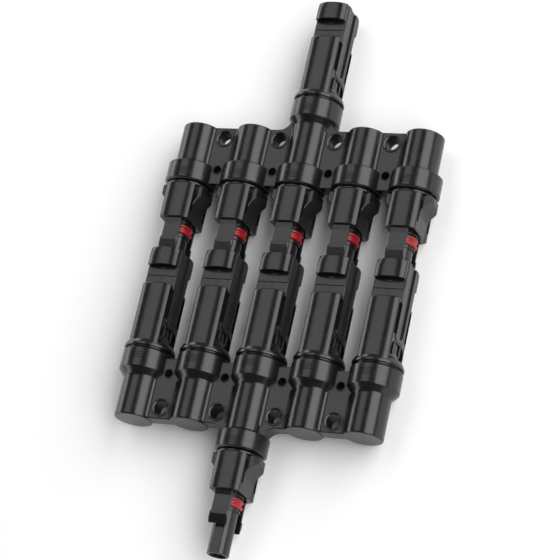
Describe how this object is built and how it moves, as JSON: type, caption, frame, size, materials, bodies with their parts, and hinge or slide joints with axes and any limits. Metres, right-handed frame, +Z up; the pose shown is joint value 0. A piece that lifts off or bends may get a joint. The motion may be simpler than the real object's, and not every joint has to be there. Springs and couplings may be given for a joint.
{
  "type": "solar branch connector pair",
  "caption": "Solar branch connector pair, partly mated: a row of latching plugs on a webbed body faces a row of matching shells on its twin, and each body has its own outlet at the back.",
  "frame": {"origin": "centre of the bounding box in plan, at the surface that the pair lies on", "axes": "+X along the row of ports, +Y along the mating direction with the plug branch at +Y, +Z up, out of the flat of the webs"},
  "size_m": [0.1152, 0.2278, 0.02],
  "materials": {
    "moulded_black": "satin moulded, fine grain",
    "seal_red": "smooth silicone",
    "contact_tinned": "tin plated copper alloy",
    "spring_bronze": "rolled spring strip",
    "busbar_copper": "rolled copper"
  },
  "bodies": {
    "shell_branch": {"shell_branch_body": "moulded_black", "shell_branch_busbar": "busbar_copper", "shell_1_housing": "moulded_black", "shell_1_pin_contact": "contact_tinned", "shell_2_housing": "moulded_black", "shell_2_pin_contact": "contact_tinned", "shell_3_housing": "moulded_black", "shell_3_pin_contact": "contact_tinned", "shell_4_housing": "moulded_black", "shell_4_pin_contact": "contact_tinned", "shell_5_housing": "moulded_black", "shell_5_pin_contact": "contact_tinned", "shell_branch_outlet_housing": "moulded_black", "shell_branch_outlet_seal": "seal_red", "shell_branch_outlet_socket_contact": "contact_tinned", "shell_branch_outlet_contact_spring": "spring_bronze"},
    "plug_branch": {"plug_branch_body": "moulded_black", "plug_branch_busbar": "busbar_copper", "plug_1_housing": "moulded_black", "plug_1_seal": "seal_red", "plug_1_socket_contact": "contact_tinned", "plug_1_contact_spring": "spring_bronze", "plug_2_housing": "moulded_black", "plug_2_seal": "seal_red", "plug_2_socket_contact": "contact_tinned", "plug_2_contact_spring": "spring_bronze", "plug_3_housing": "moulded_black", "plug_3_seal": "seal_red", "plug_3_socket_contact": "contact_tinned", "plug_3_contact_spring": "spring_bronze", "plug_4_housing": "moulded_black", "plug_4_seal": "seal_red", "plug_4_socket_contact": "contact_tinned", "plug_4_contact_spring": "spring_bronze", "plug_5_housing": "moulded_black", "plug_5_seal": "seal_red", "plug_5_socket_contact": "contact_tinned", "plug_5_contact_spring": "spring_bronze", "plug_branch_outlet_housing": "moulded_black", "plug_branch_outlet_pin_contact": "contact_tinned"},
    "plug_1_latch_top": {"plug_1_finger_top": "moulded_black"},
    "plug_1_latch_bottom": {"plug_1_finger_bottom": "moulded_black"},
    "plug_2_latch_top": {"plug_2_finger_top": "moulded_black"},
    "plug_2_latch_bottom": {"plug_2_finger_bottom": "moulded_black"},
    "plug_3_latch_top": {"plug_3_finger_top": "moulded_black"},
    "plug_3_latch_bottom": {"plug_3_finger_bottom": "moulded_black"},
    "plug_4_latch_top": {"plug_4_finger_top": "moulded_black"},
    "plug_4_latch_bottom": {"plug_4_finger_bottom": "moulded_black"},
    "plug_5_latch_top": {"plug_5_finger_top": "moulded_black"},
    "plug_5_latch_bottom": {"plug_5_finger_bottom": "moulded_black"},
    "shell_branch_outlet_latch_top": {"shell_branch_outlet_finger_top": "moulded_black"},
    "shell_branch_outlet_latch_bottom": {"shell_branch_outlet_finger_bottom": "moulded_black"}
  },
  "joints": [
    {"name": "mating_slide", "type": "slide", "parent": "shell_branch", "child": "plug_branch", "axis": [0, 1, 0], "range_m": [-0.0127, 0.03]},
    {"name": "plug_1_latch_top_flex", "type": "hinge", "parent": "plug_branch", "child": "plug_1_latch_top", "pos_m": [-0.0476, 0.0212, 0.0166], "axis": [1, 0, 0], "range_deg": [-4, 0], "stiffness_Nm_per_rad": 0.6, "springref_deg": -4},
    {"name": "plug_1_latch_bottom_flex", "type": "hinge", "parent": "plug_branch", "child": "plug_1_latch_bottom", "pos_m": [-0.0476, 0.0212, 0.0034], "axis": [-1, 0, 0], "range_deg": [-4, 0], "stiffness_Nm_per_rad": 0.6, "springref_deg": -4},
    {"name": "plug_2_latch_top_flex", "type": "hinge", "parent": "plug_branch", "child": "plug_2_latch_top", "pos_m": [-0.0238, 0.0212, 0.0166], "axis": [1, 0, 0], "range_deg": [-4, 0], "stiffness_Nm_per_rad": 0.6, "springref_deg": -4},
    {"name": "plug_2_latch_bottom_flex", "type": "hinge", "parent": "plug_branch", "child": "plug_2_latch_bottom", "pos_m": [-0.0238, 0.0212, 0.0034], "axis": [-1, 0, 0], "range_deg": [-4, 0], "stiffness_Nm_per_rad": 0.6, "springref_deg": -4},
    {"name": "plug_3_latch_top_flex", "type": "hinge", "parent": "plug_branch", "child": "plug_3_latch_top", "pos_m": [0, 0.0212, 0.0166], "axis": [1, 0, 0], "range_deg": [-4, 0], "stiffness_Nm_per_rad": 0.6, "springref_deg": -4},
    {"name": "plug_3_latch_bottom_flex", "type": "hinge", "parent": "plug_branch", "child": "plug_3_latch_bottom", "pos_m": [0, 0.0212, 0.0034], "axis": [-1, 0, 0], "range_deg": [-4, 0], "stiffness_Nm_per_rad": 0.6, "springref_deg": -4},
    {"name": "plug_4_latch_top_flex", "type": "hinge", "parent": "plug_branch", "child": "plug_4_latch_top", "pos_m": [0.0238, 0.0212, 0.0166], "axis": [1, 0, 0], "range_deg": [-4, 0], "stiffness_Nm_per_rad": 0.6, "springref_deg": -4},
    {"name": "plug_4_latch_bottom_flex", "type": "hinge", "parent": "plug_branch", "child": "plug_4_latch_bottom", "pos_m": [0.0238, 0.0212, 0.0034], "axis": [-1, 0, 0], "range_deg": [-4, 0], "stiffness_Nm_per_rad": 0.6, "springref_deg": -4},
    {"name": "plug_5_latch_top_flex", "type": "hinge", "parent": "plug_branch", "child": "plug_5_latch_top", "pos_m": [0.0476, 0.0212, 0.0166], "axis": [1, 0, 0], "range_deg": [-4, 0], "stiffness_Nm_per_rad": 0.6, "springref_deg": -4},
    {"name": "plug_5_latch_bottom_flex", "type": "hinge", "parent": "plug_branch", "child": "plug_5_latch_bottom", "pos_m": [0.0476, 0.0212, 0.0034], "axis": [-1, 0, 0], "range_deg": [-4, 0], "stiffness_Nm_per_rad": 0.6, "springref_deg": -4},
    {"name": "shell_branch_outlet_latch_top_flex", "type": "hinge", "parent": "shell_branch", "child": "shell_branch_outlet_latch_top", "pos_m": [0, -0.0874, 0.0166], "axis": [1, 0, 0], "range_deg": [-4, 0], "stiffness_Nm_per_rad": 0.6, "springref_deg": -4},
    {"name": "shell_branch_outlet_latch_bottom_flex", "type": "hinge", "parent": "shell_branch", "child": "shell_branch_outlet_latch_bottom", "pos_m": [0, -0.0874, 0.0034], "axis": [-1, 0, 0], "range_deg": [-4, 0], "stiffness_Nm_per_rad": 0.6, "springref_deg": -4}
  ]
}
